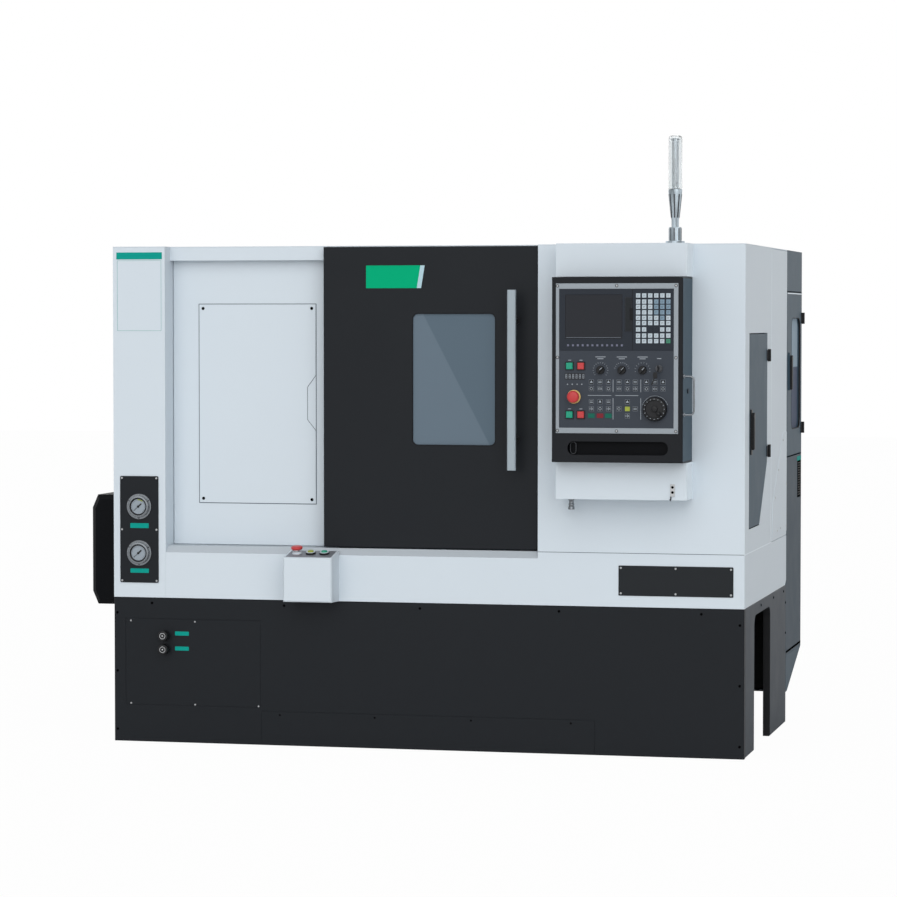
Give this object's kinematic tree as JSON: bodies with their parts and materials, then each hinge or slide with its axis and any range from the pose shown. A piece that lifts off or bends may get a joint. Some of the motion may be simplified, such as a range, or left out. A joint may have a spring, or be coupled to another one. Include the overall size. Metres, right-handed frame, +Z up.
{
  "type": "turning lathe",
  "caption": "Enclosed slant-bed turning lathe with sliding door, control console, spindle with jaw chuck, tool turret, tailstock and rear electrical cabinet.",
  "frame": {"origin": "middle of the bounding box on the floor, under the levelling feet", "axes": "+Z up, +X along the spindle axis from the headstock to the tailstock, +Y from the operator's side to the back"},
  "size_m": [2.3604, 1.7263, 2.076],
  "materials": {
    "white_paint": "satin",
    "black_paint": "fine texture",
    "base_paint": "fine texture",
    "grey_paint": "satin",
    "stainless": "brushed",
    "cast_iron": "painted castings with ground ways",
    "steel": "ground",
    "tool_steel": "hardened",
    "motor_paint": "satin",
    "belt_rubber": "matt",
    "aluminium": "satin anodised",
    "black_plastic": "matt",
    "display_plastic": "matt",
    "panel_film": "satin film",
    "window_glass": "tinted laminated",
    "lamp_plastic": "clear and silver",
    "red_plastic": "gloss",
    "green_plastic": "gloss",
    "yellow_plastic": "gloss",
    "chrome": "polished"
  },
  "bodies": {
    "machine": {"bed_casting": "cast_iron", "levelling_feet": "steel", "headstock": "cast_iron", "spindle_motor": "motor_paint", "drive_belt": "belt_rubber", "splash_guard": "stainless", "base_front_cover": "base_paint", "base_right_cover": "base_paint", "base_left_cover": "base_paint", "apron_cover": "white_paint", "left_cover": "white_paint", "door_rails": "stainless", "headstock_cover": "white_paint", "right_front_cover": "white_paint", "right_rear_cover": "white_paint", "roof_cover": "white_paint", "rear_cover": "white_paint", "electrical_cabinet": "grey_paint", "motor_cover": "black_paint", "gauge_panel": "black_paint", "start_box": "white_paint", "tower_lamp": "lamp_plastic"},
    "sliding_door": {"sliding_door": "black_paint", "door_window": "window_glass", "door_handle": "aluminium"},
    "console": {"console_box": "black_paint", "console_bezel": "aluminium", "display_unit": "display_plastic", "switch_panel": "panel_film", "console_handle": "chrome"},
    "side_door": {"side_door": "grey_paint"},
    "side_door_lever": {"side_door_lever": "black_plastic"},
    "cabinet_door": {"cabinet_door": "grey_paint"},
    "cabinet_door_lever": {"cabinet_door_lever": "black_plastic"},
    "spindle": {"spindle": "steel", "chuck": "steel"},
    "chuck_jaw_1": {"chuck_jaw_1": "tool_steel"},
    "chuck_jaw_2": {"chuck_jaw_2": "tool_steel"},
    "chuck_jaw_3": {"chuck_jaw_3": "tool_steel"},
    "motor_pulley": {"motor_pulley": "steel"},
    "saddle": {"saddle": "cast_iron"},
    "turret_housing": {"turret_housing": "cast_iron"},
    "turret_disc": {"turret_disc": "steel"},
    "tailstock": {"tailstock": "cast_iron"},
    "tailstock_quill": {"tailstock_quill": "steel"},
    "handwheel": {"handwheel": "black_plastic"},
    "console_stop": {"console_stop": "red_plastic"},
    "feed_selector": {"feed_selector": "black_plastic"},
    "rapid_selector": {"rapid_selector": "black_plastic"},
    "spindle_selector": {"spindle_selector": "black_plastic"},
    "key_switch": {"key_switch": "steel"},
    "power_on_button": {"power_on_button": "green_plastic"},
    "power_off_button": {"power_off_button": "red_plastic"},
    "cycle_start_button": {"cycle_start_button": "green_plastic"},
    "feed_hold_button": {"feed_hold_button": "red_plastic"},
    "start_box_stop": {"start_box_stop": "red_plastic"},
    "start_box_reset": {"start_box_reset": "yellow_plastic"},
    "start_box_start": {"start_box_start": "green_plastic"},
    "upper_pressure_knob": {"upper_pressure_knob": "black_plastic"},
    "lower_pressure_knob": {"lower_pressure_knob": "black_plastic"}
  },
  "joints": [
    {"name": "door_slide", "type": "slide", "parent": "machine", "child": "sliding_door", "axis": [-1, 0, 0], "range_m": [0, 0.55]},
    {"name": "console_swing", "type": "hinge", "parent": "machine", "child": "console", "pos_m": [0.55285, -0.62825, 1.3], "axis": [0, 0, 1], "range_deg": [-60, 0]},
    {"name": "side_door_swing", "type": "hinge", "parent": "machine", "child": "side_door", "pos_m": [1.17185, -0.07625, 1.19], "axis": [0, 0, 1], "range_deg": [0, 110]},
    {"name": "side_door_lever_turn", "type": "hinge", "parent": "side_door", "child": "side_door_lever", "pos_m": [1.17085, -0.49425, 1.14], "axis": [1, 0, 0], "range_deg": [0, 90]},
    {"name": "cabinet_door_swing", "type": "hinge", "parent": "machine", "child": "cabinet_door", "pos_m": [1.17185, 0.85775, 1.27], "axis": [0, 0, 1], "range_deg": [0, 110]},
    {"name": "cabinet_lever_turn", "type": "hinge", "parent": "cabinet_door", "child": "cabinet_door_lever", "pos_m": [1.17085, 0.49075, 1.322], "axis": [1, 0, 0], "range_deg": [0, 90]},
    {"name": "spindle_turn", "type": "hinge", "parent": "machine", "child": "spindle", "pos_m": [-0.43415, -0.26825, 1.045], "axis": [1, 0, 0], "continuous": true},
    {"name": "jaw_1_slide", "type": "slide", "parent": "spindle", "child": "chuck_jaw_1", "axis": [0, -0.5, 0.866], "range_m": [-0.0037, 0]},
    {"name": "jaw_2_slide", "type": "slide", "parent": "spindle", "child": "chuck_jaw_2", "axis": [0, -0.5, -0.866], "range_m": [-0.0037, 0]},
    {"name": "jaw_3_slide", "type": "slide", "parent": "spindle", "child": "chuck_jaw_3", "axis": [0, 1, 0], "range_m": [-0.0037, 0]},
    {"name": "motor_turn", "type": "hinge", "parent": "machine", "child": "motor_pulley", "pos_m": [-0.74415, -0.29825, 0.655], "axis": [1, 0, 0], "continuous": true},
    {"name": "saddle_slide", "type": "slide", "parent": "machine", "child": "saddle", "axis": [1, 0, 0], "range_m": [-0.28, 0.1]},
    {"name": "cross_slide", "type": "slide", "parent": "saddle", "child": "turret_housing", "axis": [0, 0.7071, 0.7071], "range_m": [-0.15, 0]},
    {"name": "turret_turn", "type": "hinge", "parent": "turret_housing", "child": "turret_disc", "pos_m": [0.24585, -0.05965, 1.2536], "axis": [1, 0, 0], "continuous": true},
    {"name": "tailstock_slide", "type": "slide", "parent": "machine", "child": "tailstock", "axis": [1, 0, 0], "range_m": [-0.3, 0.05]},
    {"name": "quill_slide", "type": "slide", "parent": "tailstock", "child": "tailstock_quill", "axis": [1, 0, 0], "range_m": [-0.1, 0]},
    {"name": "handwheel_turn", "type": "hinge", "parent": "console", "child": "handwheel", "pos_m": [0.89785, -0.82825, 1.172], "axis": [0, 1, 0], "continuous": true},
    {"name": "console_stop_push", "type": "slide", "parent": "console", "child": "console_stop", "axis": [0, 1, 0], "range_m": [0, 0.006], "stiffness_N_per_m": 1500, "springref_m": -0.003},
    {"name": "feed_selector_turn", "type": "hinge", "parent": "console", "child": "feed_selector", "pos_m": [0.71585, -0.82825, 1.299], "axis": [0, 1, 0], "range_deg": [-140, 140]},
    {"name": "rapid_selector_turn", "type": "hinge", "parent": "console", "child": "rapid_selector", "pos_m": [0.78685, -0.82825, 1.299], "axis": [0, 1, 0], "range_deg": [-60, 60]},
    {"name": "spindle_selector_turn", "type": "hinge", "parent": "console", "child": "spindle_selector", "pos_m": [0.85585, -0.82825, 1.299], "axis": [0, 1, 0], "range_deg": [-100, 100]},
    {"name": "key_turn", "type": "hinge", "parent": "console", "child": "key_switch", "pos_m": [0.91085, -0.82825, 1.304], "axis": [0, 1, 0], "range_deg": [0, 90]},
    {"name": "power_on_push", "type": "slide", "parent": "console", "child": "power_on_button", "axis": [0, 1, 0], "range_m": [0, 0.004], "stiffness_N_per_m": 1500, "springref_m": -0.003},
    {"name": "power_off_push", "type": "slide", "parent": "console", "child": "power_off_button", "axis": [0, 1, 0], "range_m": [0, 0.004], "stiffness_N_per_m": 1500, "springref_m": -0.003},
    {"name": "cycle_start_push", "type": "slide", "parent": "console", "child": "cycle_start_button", "axis": [0, 1, 0], "range_m": [0, 0.004], "stiffness_N_per_m": 1500, "springref_m": -0.003},
    {"name": "feed_hold_push", "type": "slide", "parent": "console", "child": "feed_hold_button", "axis": [0, 1, 0], "range_m": [0, 0.004], "stiffness_N_per_m": 1500, "springref_m": -0.003},
    {"name": "start_box_stop_push", "type": "slide", "parent": "machine", "child": "start_box_stop", "axis": [0, 0.1959, -0.9806], "range_m": [0, 0.005], "stiffness_N_per_m": 1500, "springref_m": -0.003},
    {"name": "start_box_reset_push", "type": "slide", "parent": "machine", "child": "start_box_reset", "axis": [0, 0.1959, -0.9806], "range_m": [0, 0.005], "stiffness_N_per_m": 1500, "springref_m": -0.003},
    {"name": "start_box_start_push", "type": "slide", "parent": "machine", "child": "start_box_start", "axis": [0, 0.1959, -0.9806], "range_m": [0, 0.005], "stiffness_N_per_m": 1500, "springref_m": -0.003},
    {"name": "upper_knob_turn", "type": "hinge", "parent": "machine", "child": "upper_pressure_knob", "pos_m": [-0.84815, -0.64825, 0.374], "axis": [0, 1, 0], "range_deg": [-540, 540]},
    {"name": "lower_knob_turn", "type": "hinge", "parent": "machine", "child": "lower_pressure_knob", "pos_m": [-0.84815, -0.64825, 0.327], "axis": [0, 1, 0], "range_deg": [-540, 540]}
  ],
  "couplings": [
    {"joint": "jaw_2_slide", "follows": "jaw_1_slide", "ratio": 1},
    {"joint": "jaw_3_slide", "follows": "jaw_1_slide", "ratio": 1},
    {"joint": "motor_turn", "follows": "spindle_turn", "ratio": 1.6364}
  ]
}
